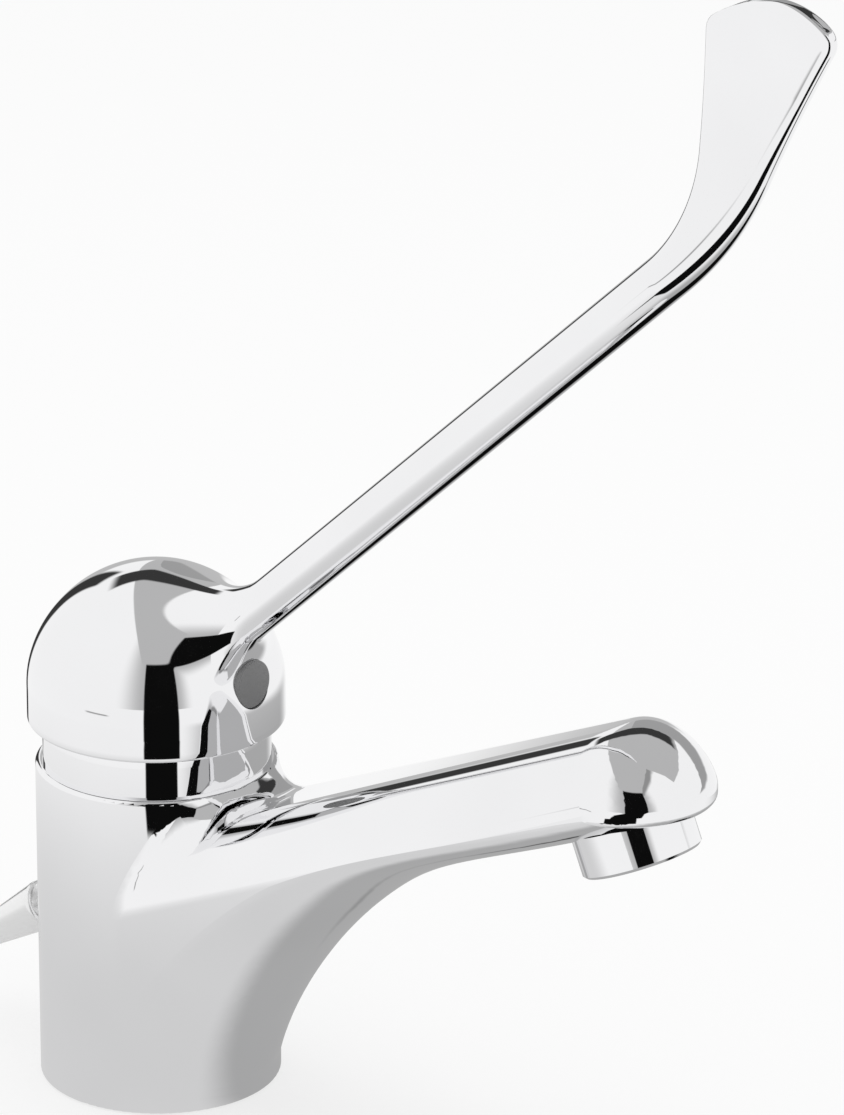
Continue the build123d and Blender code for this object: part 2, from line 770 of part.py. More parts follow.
# Insert between the square spindle and the handle's socket
with BuildPart() as spindle_insert:
    with BuildSketch(Plane.XY.offset(socket_level + socket_depth - insert_height)):
        Rectangle(insert_side, insert_side)
        Rectangle(spindle_side + 2 * slide_fit, spindle_side + 2 * slide_fit, mode=Mode.SUBTRACT)
    extrude(amount=insert_height)
    with BuildSketch(Plane.YZ.offset(spindle_side / 2)):
        with Locations((0, screw_level)):
            Circle(screw_radius + body_gap)
    extrude(amount=insert_side, mode=Mode.SUBTRACT)

with BuildPart() as grub_screw:
    with BuildSketch(Plane.YZ.offset(spindle_side / 2)):
        with Locations((0, screw_level)):
            Circle(screw_radius)
    extrude(amount=screw_length)
    chamfer(grub_screw.edges().filter_by(GeomType.CIRCLE), length=screw_edge)
    with BuildSketch(Plane.YZ.offset(spindle_side / 2 + screw_length)):
        with Locations((0, screw_level)):
            RegularPolygon(screw_key_flats / 2, 6, major_radius=False)
    extrude(amount=-screw_key_depth, mode=Mode.SUBTRACT)

# Button: its face follows the dome
with BuildPart() as index_button:
    with BuildSketch(Plane.XZ):
        with BuildLine():
            dome_outline(handle_radius + button_proud, dome_rise + button_proud)
        make_face()
    revolve(axis=Axis.Z)
    with BuildSketch(Plane.YZ.offset(button_seat_front)):
        with Locations((0, screw_level)):
            Circle(button_radius)
    extrude(amount=handle_radius, mode=Mode.INTERSECT)
    with BuildSketch(Plane.YZ.offset(button_seat_front)):
        with Locations((0, screw_level)):
            Circle(button_stem_radius)
    extrude(amount=-button_stem_length)

# Aerator: screwed on the nozzle, it clamps the regulator's flange against the gasket
nozzle_end = nozzle_length - seat_depth
flange_start = nozzle_end + gasket_thickness
flange_end = flange_start + regulator_flange
with BuildPart() as aerator_housing:
    with BuildSketch(down_plane(-seat_depth)):
        Circle(aerator_radius)
    extrude(amount=aerator_length)
    rims = aerator_housing.edges().filter_by(GeomType.CIRCLE)
    chamfer(rims.sort_by(Axis.Z)[0], length=aerator_edge)
    with BuildSketch(down_plane(-seat_depth)):
        Circle(nozzle_radius + slide_fit)
    extrude(amount=seat_depth + flange_end, mode=Mode.SUBTRACT)
    with BuildSketch(down_plane(flange_end)):
        Circle(aerator_opening)
    extrude(amount=aerator_length, mode=Mode.SUBTRACT)

with BuildPart() as aerator_gasket:
    with BuildSketch(down_plane(nozzle_end)):
        Circle(nozzle_radius)
        Circle(nozzle_bore + body_gap, mode=Mode.SUBTRACT)
    extrude(amount=gasket_thickness)

regulator_radius = nozzle_bore - 2 * slide_fit
with BuildPart() as flow_regulator:
    with BuildSketch(down_plane(flange_end - regulator_height)):
        Circle(regulator_radius)
        Circle(regulator_radius - regulator_wall, mode=Mode.SUBTRACT)
    extrude(amount=regulator_height)
    with BuildSketch(down_plane(flange_start)):
        Circle(nozzle_radius)
        Circle(regulator_radius - regulator_wall, mode=Mode.SUBTRACT)
    extrude(amount=regulator_flange)
    with BuildSketch(down_plane(flange_end - regulator_height)):
        Circle(regulator_hub)
        with PolarLocations(0, regulator_vanes):
            Rectangle(
                regulator_radius - regulator_wall / 2, regulator_vane, align=(Align.MIN, Align.CENTER)
            )
    extrude(amount=regulator_height / 2)

screen_radius = regulator_radius - regulator_wall - slide_fit
screen_slots = int(screen_radius / screen_pitch)
with BuildPart() as aerator_screen:
    with BuildSketch(down_plane(flange_end - screen_thickness)):
        Circle(screen_radius)
        Circle(screen_radius - screen_bar, mode=Mode.SUBTRACT)
        with GridLocations(screen_pitch, 0, 2 * screen_slots, 1):
            Rectangle(screen_bar, 2 * screen_radius)
        with GridLocations(0, screen_pitch, 1, 2 * screen_slots):
            Rectangle(2 * screen_radius, screen_bar)
        Circle(screen_radius, mode=Mode.INTERSECT)
    extrude(amount=screen_thickness)

# Waste lever: eye on a pin, level arm in front and sloping knob behind
waste_rise = radians(waste_slope)
waste_pivot = Vector(waste_pivot_x, 0, waste_pivot_z)
eye_half_width = pocket_half_width - loose_fit
with BuildPart() as waste_lever:
    with BuildSketch(Plane.XZ.offset(-eye_half_width)):
        with Locations((waste_pivot_x, waste_pivot_z)):
            Circle(waste_eye_radius)
    extrude(amount=2 * eye_half_width)
    with BuildSketch(Plane(origin=waste_pivot, x_dir=(0, 1, 0), z_dir=(1, 0, 0))):
        Circle(waste_arm_radius)
    extrude(amount=waste_arm_length)
    knob_plane = Plane(origin=waste_pivot, x_dir=(0, 1, 0), z_dir=(-cos(waste_rise), 0, -sin(waste_rise)))
    with BuildSketch(knob_plane):
        Circle(waste_stem_radius)
    extrude(amount=knob_start + knob_edge)
    with BuildSketch(knob_plane.offset(knob_start)):
        Circle(knob_start_radius)
    with BuildSketch(knob_plane.offset(knob_start + knob_length)):
        Circle(knob_end_radius)
    loft()
    knob_ends = waste_lever.edges().filter_by(
        lambda edge: edge.geom_type == GeomType.CIRCLE
        and edge.radius in (knob_start_radius, knob_end_radius)
    )
    fillet(knob_ends, radius=knob_edge)
    with BuildSketch(Plane.XZ.offset(-eye_half_width)):
        with Locations((waste_pivot_x, waste_pivot_z)):
            Circle(waste_pin_radius + running_fit)
    extrude(amount=2 * eye_half_width, mode=Mode.SUBTRACT)

pin_end = sqrt(column_radius**2 - waste_pivot_x**2) - waste_pin_sunk
with BuildPart() as waste_pin:
    with BuildSketch(Plane.XZ.offset(waste_pin_inner)):
        with Locations((waste_pivot_x, waste_pivot_z)):
            Circle(waste_pin_radius)
    extrude(amount=-waste_pin_inner - pin_end)

with BuildPart() as lift_rod:
    with BuildSketch(Plane.XY.offset(lift_rod_foot)):
        with Locations((lift_rod_x, 0)):
            Circle(lift_rod_radius)
    extrude(amount=waste_pivot_z - lift_rod_foot)
    with BuildSketch(Plane.XY.offset(waste_pivot_z - lift_head_height / 2)):
        with Locations((lift_rod_x, 0)):
            Rectangle(lift_head_depth, 2 * eye_half_width)
    extrude(amount=lift_head_height)
    with BuildSketch(Plane.YZ.offset(lift_rod_x - lift_head_depth)):
        with Locations((0, waste_pivot_z)):
            Circle(lift_head_bore)
    extrude(amount=2 * lift_head_depth, mode=Mode.SUBTRACT)

pieces = {
    "body": body,
    "base_seal": base_seal,
    "cover_ring": cover_ring,
    "retaining_nut": retaining_nut,
    "cartridge_base": cartridge_base,
    "port_seals": port_seals,
    "fixed_disc": fixed_disc,
    "moving_disc": moving_disc,
    "disc_carrier": disc_carrier,
    "cartridge_housing": cartridge_housing,
    "spindle_guide": spindle_guide,
    "pivot_pin": pivot_pin,
    "spindle": spindle,
    "spindle_insert": spindle_insert,
    "handle": handle,
    "grub_screw": grub_screw,
    "index_button": index_button,
    "aerator_housing": aerator_housing,
    "aerator_gasket": aerator_gasket,
    "flow_regulator": flow_regulator,
    "aerator_screen": aerator_screen,
    "waste_lever": waste_lever,
    "waste_pin": waste_pin,
    "lift_rod": lift_rod,
}
for piece_name, piece in pieces.items():
    piece.part.label = piece_name
    export_step(piece.part, f"parts/{piece_name}.step")
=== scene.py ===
"""Look of the single-lever basin mixer: chrome castings in a white studio."""
import logging
import math
from dataclasses import dataclass, field
from enum import Enum
from typing import ClassVar

import bpy
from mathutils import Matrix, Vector


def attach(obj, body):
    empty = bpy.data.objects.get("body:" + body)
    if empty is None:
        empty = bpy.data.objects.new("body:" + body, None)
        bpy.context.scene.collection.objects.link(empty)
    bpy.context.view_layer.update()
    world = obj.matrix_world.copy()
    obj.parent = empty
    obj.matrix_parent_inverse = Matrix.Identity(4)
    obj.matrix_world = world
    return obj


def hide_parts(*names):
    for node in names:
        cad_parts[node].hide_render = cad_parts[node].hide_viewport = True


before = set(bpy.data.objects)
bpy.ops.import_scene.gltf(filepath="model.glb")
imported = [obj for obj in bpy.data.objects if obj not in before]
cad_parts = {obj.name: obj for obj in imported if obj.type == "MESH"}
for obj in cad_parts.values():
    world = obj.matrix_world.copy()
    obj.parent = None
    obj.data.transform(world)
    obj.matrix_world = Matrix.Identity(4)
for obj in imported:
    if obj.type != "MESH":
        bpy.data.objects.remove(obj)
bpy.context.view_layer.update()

log = logging.getLogger("basin_mixer")
logging.basicConfig(level=logging.INFO, format="%(message)s")

MM = 0.001
TINY = 1e-6

Socket = bpy.types.NodeSocket
Ring = list[Vector]


class Texture(Enum):
    """Scale in periods per metre of the fine unevenness of each kind of surface."""

    CAST_WAVE = 38.0
    WATER_MARKS = 160.0
    MOULD_GRAIN = 2600.0
    TOOL_MARKS = 900.0


class Surface(Enum):
    """Finishes that the pieces of the mixer have."""

    CHROME = "chrome"
    SATIN = "satin"
    BRASS = "brass"
    STEEL = "steel"
    RUBBER = "rubber"
    CERAMIC = "ceramic"
    GREY_PLASTIC = "grey_plastic"
    WHITE_PLASTIC = "white_plastic"
    INDEX = "index"
    DARK_PLASTIC = "dark_plastic"


class Carving(Enum):
    """Ways in which a tool changes a piece."""

    CUT = "DIFFERENCE"
    JOIN = "UNION"


def new_group(name: str, inputs: dict[str, float],
              outputs: dict[str, str]) -> bpy.types.NodeTree:
    """Make an empty shader node group with named sockets.

    Args:
        name: Name of the group.
        inputs: Name of each input to its default number.
        outputs: Name of each output to its socket type.

    Returns:
        The new node tree, with its input and output nodes added.
    """
    tree = bpy.data.node_groups.new(name, "ShaderNodeTree")
    for label, value in inputs.items():
        socket = tree.interface.new_socket(label, in_out="INPUT", socket_type="NodeSocketFloat")
        socket.default_value = value
    for label, kind in outputs.items():
        tree.interface.new_socket(label, in_out="OUTPUT", socket_type=kind)
    tree.nodes.new("NodeGroupInput").name = "in"
    tree.nodes.new("NodeGroupOutput").name = "out"
    return tree


@dataclass(frozen=True)
class Unevenness:
    """Slow waves and fine marks of a surface, with a roughness that follows the marks."""

    wave_detail: float = 1.0
    mark_detail: float = 5.0
    mark_roughness: float = 0.65
    smooth_below: float = 0.4
    rough_above: float = 0.75

    def build(self) -> bpy.types.NodeTree:
        """Build the node group that all finishes share.

        Returns:
            Node tree with a Height and a Roughness output.
        """
        tree = new_group(
            "uneven_surface",
            {"Wave Scale": 40.0, "Mark Scale": 200.0, "Mark Share": 0.2,
             "Rough Low": 0.03, "Rough High": 0.08},
            {"Height": "NodeSocketFloat", "Roughness": "NodeSocketFloat"},
        )
        nodes, link = tree.nodes, tree.links.new
        source, sink = nodes["in"], nodes["out"]
        place = nodes.new("ShaderNodeTexCoord")
        wave = nodes.new("ShaderNodeTexNoise")
        wave.inputs["Detail"].default_value = self.wave_detail
        marks = nodes.new("ShaderNodeTexNoise")
        marks.inputs["Detail"].default_value = self.mark_detail
        marks.inputs["Roughness"].default_value = self.mark_roughness
        share = nodes.new("ShaderNodeMath")
        share.operation = "MULTIPLY_ADD"
        rough = nodes.new("ShaderNodeMapRange")
        rough.inputs["From Min"].default_value = self.smooth_below
        rough.inputs["From Max"].default_value = self.rough_above
        link(place.outputs["Object"], wave.inputs["Vector"])
        link(place.outputs["Object"], marks.inputs["Vector"])
        link(source.outputs["Wave Scale"], wave.inputs["Scale"])
        link(source.outputs["Mark Scale"], marks.inputs["Scale"])
        link(marks.outputs["Fac"], share.inputs[0])
        link(source.outputs["Mark Share"], share.inputs[1])
        link(wave.outputs["Fac"], share.inputs[2])
        link(marks.outputs["Fac"], rough.inputs["Value"])
        link(source.outputs["Rough Low"], rough.inputs["To Min"])
        link(source.outputs["Rough High"], rough.inputs["To Max"])
        link(share.outputs["Value"], sink.inputs["Height"])
        link(rough.outputs["Result"], sink.inputs["Roughness"])
        return tree


@dataclass(frozen=True)
class Finish:
    """One surface finish, built as a procedural material."""

    name: str
    colour: tuple[float, float, float]
    metallic: float = 0.0
    rough_low: float = 0.3
    rough_high: float = 0.5
    wave_scale: float = Texture.CAST_WAVE.value
    mark_scale: float = Texture.MOULD_GRAIN.value
    mark_share: float = 0.3
    bump: float = 0.1
    bump_depth: float = 0.02 * MM
    hollow_shade: float = 0.93

    def build(self, uneven: bpy.types.NodeTree) -> bpy.types.Material:
        """Make the material.

        Args:
            uneven: The group of waves and marks.

        Returns:
            The finished material.
        """
        material = bpy.data.materials.new(self.name)
        material.use_nodes = True
        nodes, link = material.node_tree.nodes, material.node_tree.links.new
        shader = nodes["Principled BSDF"]
        shader.inputs["Metallic"].default_value = self.metallic
        group = nodes.new("ShaderNodeGroup")
        group.node_tree = uneven
        group.inputs["Wave Scale"].default_value = self.wave_scale
        group.inputs["Mark Scale"].default_value = self.mark_scale
        group.inputs["Mark Share"].default_value = self.mark_share
        group.inputs["Rough Low"].default_value = self.rough_low
        group.inputs["Rough High"].default_value = self.rough_high
        bump = nodes.new("ShaderNodeBump")
        bump.inputs["Strength"].default_value = self.bump
        bump.inputs["Distance"].default_value = self.bump_depth
        blend = nodes.new("ShaderNodeMix")
        blend.data_type = "RGBA"
        blend.inputs["A"].default_value = (*self.colour, 1)
        blend.inputs["B"].default_value = (*(self.hollow_shade * c for c in self.colour), 1)
        link(group.outputs["Height"], bump.inputs["Height"])
        link(bump.outputs["Normal"], shader.inputs["Normal"])
        link(group.outputs["Roughness"], shader.inputs["Roughness"])
        link(group.outputs["Height"], blend.inputs["Factor"])
        link(blend.outputs["Result"], shader.inputs["Base Color"])
        return material


FINISHES = {
    Surface.CHROME: Finish(
        "polished_chrome", (0.93, 0.93, 0.94), metallic=1.0, rough_low=0.015, rough_high=0.05,
        mark_scale=Texture.WATER_MARKS.value, mark_share=0.05, bump=0.15, bump_depth=0.05 * MM),
    Surface.SATIN: Finish(
        "satin_chrome", (0.95, 0.95, 0.95), metallic=0.6, rough_low=0.12, rough_high=0.2,
        mark_scale=Texture.TOOL_MARKS.value, bump=0.2),
    Surface.BRASS: Finish(
        "turned_brass", (0.78, 0.6, 0.3), metallic=1.0, rough_low=0.22, rough_high=0.38,
        mark_scale=Texture.TOOL_MARKS.value, bump=0.3),
    Surface.STEEL: Finish(
        "ground_steel", (0.62, 0.62, 0.64), metallic=1.0, rough_low=0.2, rough_high=0.34,
        mark_scale=Texture.TOOL_MARKS.value, bump=0.3),
    Surface.RUBBER: Finish(
        "seal_rubber", (0.028, 0.028, 0.03), rough_low=0.55, rough_high=0.75, bump=0.4),
    Surface.CERAMIC: Finish(
        "lapped_ceramic", (0.9, 0.89, 0.86), rough_low=0.12, rough_high=0.2, bump=0.05),
    Surface.GREY_PLASTIC: Finish(
        "cartridge_plastic", (0.6, 0.61, 0.62), rough_low=0.4, rough_high=0.55, bump=0.3),
    Surface.WHITE_PLASTIC: Finish(
        "white_plastic", (0.86, 0.86, 0.84), rough_low=0.35, rough_high=0.5, bump=0.3),
    Surface.INDEX: Finish(
        "index_plastic", (0.2, 0.2, 0.202), rough_low=0.28, rough_high=0.4, bump=0.1),
    Surface.DARK_PLASTIC: Finish(
        "regulator_plastic", (0.3, 0.31, 0.32), rough_low=0.4, rough_high=0.55, bump=0.3),
}


@dataclass(frozen=True)
class Span:
    """Range of a measure with a soft edge at each end."""

    low: float
    high: float
    soft: float


@dataclass(frozen=True)
class Ramp:
    """Smooth change from 0 at one value of a measure to 1 at another."""

    start: float
    end: float


class Wires:
    """Short hand for building chains of math nodes in one node tree."""

    def __init__(self, tree: bpy.types.NodeTree) -> None:
        """Keep the tree.

        Args:
            tree: Node tree that gets the nodes.
        """
        self.nodes = tree.nodes
        self.link = tree.links.new

    def math(self, operation: str, *values: Socket | float) -> Socket:
        """Add a math node.

        Args:
            operation: Name of the operation.
            *values: Sockets or numbers, in the order of the node's inputs.

        Returns:
            The output socket.
        """
        node = self.nodes.new("ShaderNodeMath")
        node.operation = operation
        for socket, value in zip(node.inputs, values):
            if isinstance(value, Socket):
                self.link(value, socket)
            else:
                socket.default_value = value
        return node.outputs["Value"]

    def step(self, value: Socket, ramp: Ramp) -> Socket:
        """Follow a ramp.

        Args:
            value: Socket to measure.
            ramp: Where the result goes from 0 to 1.

        Returns:
            The output socket.
        """
        node = self.nodes.new("ShaderNodeMapRange")
        node.interpolation_type = "SMOOTHSTEP"
        node.inputs["From Min"].default_value = ramp.start
        node.inputs["From Max"].default_value = ramp.end
        self.link(value, node.inputs["Value"])
        return node.outputs["Result"]

    def band(self, value: Socket, span: Span) -> Socket:
        """Give 1 inside a span and 0 outside it.

        Args:
            value: Socket to measure.
            span: The span.

        Returns:
            The output socket.
        """
        return self.both(self.step(value, Ramp(span.low - span.soft, span.low + span.soft)),
                         self.step(value, Ramp(span.high + span.soft, span.high - span.soft)))

    def both(self, *masks: Socket) -> Socket:
        """Multiply masks.

        Args:
            *masks: Sockets from 0 to 1.

        Returns:
            The output socket.
        """
        result = masks[0]
        for mask in masks[1:]:
            result = self.math("MULTIPLY", result, mask)
        return result

    def paint(self, under: Socket | float, level: float, mask: Socket) -> Socket:
        """Lay one level over another where a mask is 1.

        Args:
            under: Socket or number below.
            level: Number that goes on top.
            mask: Where it goes.

        Returns:
            The output socket.
        """
        node = self.nodes.new("ShaderNodeMix")
        self.link(mask, node.inputs["Factor"])
        if isinstance(under, Socket):
            self.link(under, node.inputs["A"])
        else:
            node.inputs["A"].default_value = under
        node.inputs["B"].default_value = level
        return node.outputs["Result"]

    def turned(self, vector: Socket, azimuth: float) -> tuple[Socket, Socket, Socket]:
        """Split a vector into its share to the right, to the front and upwards.

        Args:
            vector: Socket with the vector.
            azimuth: Direction of the front, in degrees from -Y towards +X.

        Returns:
            Three sockets: right, front and up.
        """
        split = self.nodes.new("ShaderNodeSeparateXYZ")
        self.link(vector, split.inputs["Vector"])
        sine, cosine = math.sin(math.radians(azimuth)), math.cos(math.radians(azimuth))
        x, y, z = split.outputs["X"], split.outputs["Y"], split.outputs["Z"]
        right = self.math("MULTIPLY_ADD", x, cosine, self.math("MULTIPLY", y, sine))
        front = self.math("MULTIPLY_ADD", x, sine, self.math("MULTIPLY", y, -cosine))
        return right, front, z

    def bearing(self, right: Socket, front: Socket) -> Socket:
        """Turn a plan direction into degrees from the front, positive to the right.

        Args:
            right: Share to the right.
            front: Share to the front.

        Returns:
            The output socket.
        """
        return self.math("DEGREES", self.math("ARCTAN2", right, front))


@dataclass(frozen=True)
class Tent:
    """Painted reflection of a white tent round the object, with a dark opening in front, as
    polished metal shows it.

    Bearings and heights are in degrees, reaches in metres from the column's axis. Across and ahead
    are the place on a ceiling, as shares of its height. Levels are what a mirror ray meets.
    """

    # Every level here is painted reflection that only mirror rays meet; the darker ones are painted
    # shade, painted dark cards and a painted dark opening.
    facing: float = 38.5
    wall: float = 0.97
    # painted shade on the tent's sides, left and right of the front
    wall_shade: float = 0.5
    shade_left: Ramp = Ramp(-35.0, -9.0)
    shade_right: Ramp = Ramp(35.0, 21.0)
    lowest_up: float = 0.02
    horizon_up: Ramp = Ramp(0.02, 0.06)
    card: float = 0.5
    card_across: Span = Span(-0.27, 0.4, 0.01)
    card_ahead: Ramp = Ramp(1.12, 1.08)
    card_wing_across: Span = Span(-0.27, 1.1, 0.01)
    card_wing_ahead: Ramp = Ramp(0.24, 0.22)
    card_edge: float = 0.3
    card_edge_across: Span = Span(0.3, 0.52, 0.05)
    card_edge_ahead: Span = Span(0.1, 1.2, 0.05)
    dark: float = 0.04
    rear_start: Ramp = Ramp(-0.86, -0.95)
    rear_end: Ramp = Ramp(-1.75, -1.6)
    rear_across: Span = Span(-0.6, 1.0, 0.1)
    rear_up: Ramp = Ramp(0.1, 0.2)
    low_rear: float = 0.36
    low_rear_ahead: Ramp = Ramp(-1.6, -1.8)
    low_rear_height: Ramp = Ramp(4.0, 8.0)
    low_rear_bearing: Span = Span(100.0, 190.0, 6.0)
    back: float = 0.52
    back_turn: Ramp = Ramp(160.0, 168.0)
    back_height: Ramp = Ramp(9.0, 5.0)
    back_reach: Ramp = Ramp(0.4, 0.6)
    slot_bearing: Span = Span(-165.0, -152.0, 1.5)
    slot_height: Ramp = Ramp(27.0, 22.0)
    slot_reach: Ramp = Ramp(0.17, 0.2)
    gap: float = 0.004
    gap_bearing: Span = Span(-9.0, 21.0, 0.7)
    gap_height: Ramp = Ramp(42.0, 40.0)
    gap_reach: Ramp = Ramp(0.168, 0.176)
    # painted shadow near the column and painted shade to the right, on the floor that mirrors show
    near_floor_painted_shadow: float = 0.68
    far_floor: float = 0.97
    floor_reach: Ramp = Ramp(0.07, 0.25)
    side_floor_painted_shade: float = 0.42
    side_bearing: Span = Span(35.0, 150.0, 14.0)
    side_reach: Ramp = Ramp(0.32, 0.2)
    seam: float = 0.3
    seam_reach: Span = Span(0.46, 0.52, 0.03)
    seam_bearing: Span = Span(-60.0, -40.0, 2.5)
    # where the painted shade below the lever lies, and which mirror rays meet it
    below_x: Span = Span(-0.03, 0.3, 0.01)
    below_y: Span = Span(0.034, 0.22, 0.006)
    below_slant: Ramp = Ramp(0.27, 0.2)
    below_blend: float = 0.5

    def sky(self, wires: Wires, direction: Socket) -> Socket:
        """Painted reflection: level that a mirror ray meets in each direction above the floor.

        Args:
            wires: Node helper of the world's tree.
            direction: Socket with the direction.

        Returns:
            The output socket.
        """
        right, front, up = wires.turned(direction, self.facing)
        bearing = wires.bearing(right, front)
        turn = wires.math("ABSOLUTE", bearing)
        height = wires.math("DEGREES", wires.math("ARCSINE", up))
        above = wires.math("MAXIMUM", up, self.lowest_up)
        across = wires.math("DIVIDE", right, above)
        ahead = wires.math("DIVIDE", front, above)
        # painted shade on the tent's sides
        shade = wires.both(wires.step(bearing, self.shade_left),
                           wires.step(bearing, self.shade_right))
        level = wires.paint(self.wall, self.wall_shade, shade)
        # painted grey cards overhead, with a darker painted edge
        edge = wires.both(wires.band(across, self.card_edge_across),
                          wires.band(ahead, self.card_edge_ahead))
        level = wires.paint(level, self.card_edge, edge)
        overhead = wires.step(up, self.horizon_up)
        card = wires.both(wires.band(across, self.card_across),
                          wires.step(ahead, self.card_ahead), overhead)
        wing = wires.both(wires.band(across, self.card_wing_across),
                          wires.step(ahead, self.card_wing_ahead), overhead)
        level = wires.paint(level, self.card, wires.math("MAXIMUM", card, wing))
        # painted dark reflections behind: rear, low rear and back
        rear = wires.both(wires.step(ahead, self.rear_start), wires.step(ahead, self.rear_end),
                          wires.band(across, self.rear_across), wires.step(up, self.rear_up))
        level = wires.paint(level, self.dark, rear)
        low_rear = wires.both(wires.step(ahead, self.low_rear_ahead),
                              wires.step(height, self.low_rear_height),
                              wires.band(bearing, self.low_rear_bearing))
        level = wires.paint(level, self.low_rear, low_rear)
        back = wires.both(wires.step(turn, self.back_turn), wires.step(height, self.back_height))
        level = wires.paint(level, self.back, back)
        # painted dark slot, and the painted dark opening in front
        slot = wires.both(wires.band(bearing, self.slot_bearing),
                          wires.step(height, self.slot_height))
        level = wires.paint(level, self.dark, slot)
        gap = wires.both(wires.band(bearing, self.gap_bearing), wires.step(height, self.gap_height))
        return wires.paint(level, self.gap, gap)

    def ground(self, wires: Wires, place: Socket) -> Socket:
        """Painted reflection: level that a mirror ray meets at each place of the floor.

        Args:
            wires: Node helper of the floor's tree.
            place: Socket with the place in metres.

        Returns:
            The output socket.
        """
        right, front, _ = wires.turned(place, self.facing)
        bearing = wires.bearing(right, front)
        turn = wires.math("ABSOLUTE", bearing)
        square = wires.math("ADD", wires.math("POWER", right, 2.0), wires.math("POWER", front, 2.0))
        reach = wires.math("SQRT", square)
        # painted shadow: the floor is darker near the column
        level = wires.paint(self.near_floor_painted_shadow, self.far_floor, wires.step(reach, self.floor_reach))
        # painted shade on the floor to the right
        side = wires.both(wires.band(bearing, self.side_bearing),
                          wires.step(reach, self.side_reach))
        level = wires.paint(level, self.side_floor_painted_shade, side)
        # painted dark seam line on the floor
        seam = wires.both(wires.band(reach, self.seam_reach),
                          wires.band(bearing, self.seam_bearing))
        level = wires.paint(level, self.seam, seam)
        # painted darker floor at the back, and a painted dark slot
        back = wires.both(wires.step(turn, self.back_turn), wires.step(reach, self.back_reach))
        level = wires.paint(level, self.back, back)
        slot = wires.both(wires.band(bearing, self.slot_bearing),
                          wires.step(reach, self.slot_reach))
        level = wires.paint(level, self.dark, slot)
        # painted shade on the floor below the lever, met only by steep mirror rays
        level = wires.paint(level, self.gap, self.painted_shade_below_lever(wires, place))
        # painted dark opening in front
        gap = wires.both(wires.band(bearing, self.gap_bearing), wires.step(reach, self.gap_reach))
        return wires.paint(level, self.gap, gap)

    def painted_shade_below_lever(self, wires: Wires, place: Socket) -> Socket:
        """Mask of painted shade on the floor behind and below the lever, for mirror rays that come
        down steeply.

        Args:
            wires: Node helper of the floor's tree.
            place: Socket with the place in metres.

        Returns:
            The output socket.
        """
        split = wires.nodes.new("ShaderNodeSeparateXYZ")
        wires.link(place, split.inputs["Vector"])
        slant = wires.nodes.new("ShaderNodeLayerWeight")
        slant.inputs["Blend"].default_value = self.below_blend
        return wires.both(wires.band(split.outputs["X"], self.below_x),
                          wires.band(split.outputs["Y"], self.below_y),
                          wires.step(slant.outputs["Facing"], self.below_slant))


def grey(level: float) -> tuple[float, float, float, float]:
    """Make an even grey.

    Args:
        level: Its level.

    Returns:
        The colour with an alpha of 1.
    """
    return (level, level, level, 1)


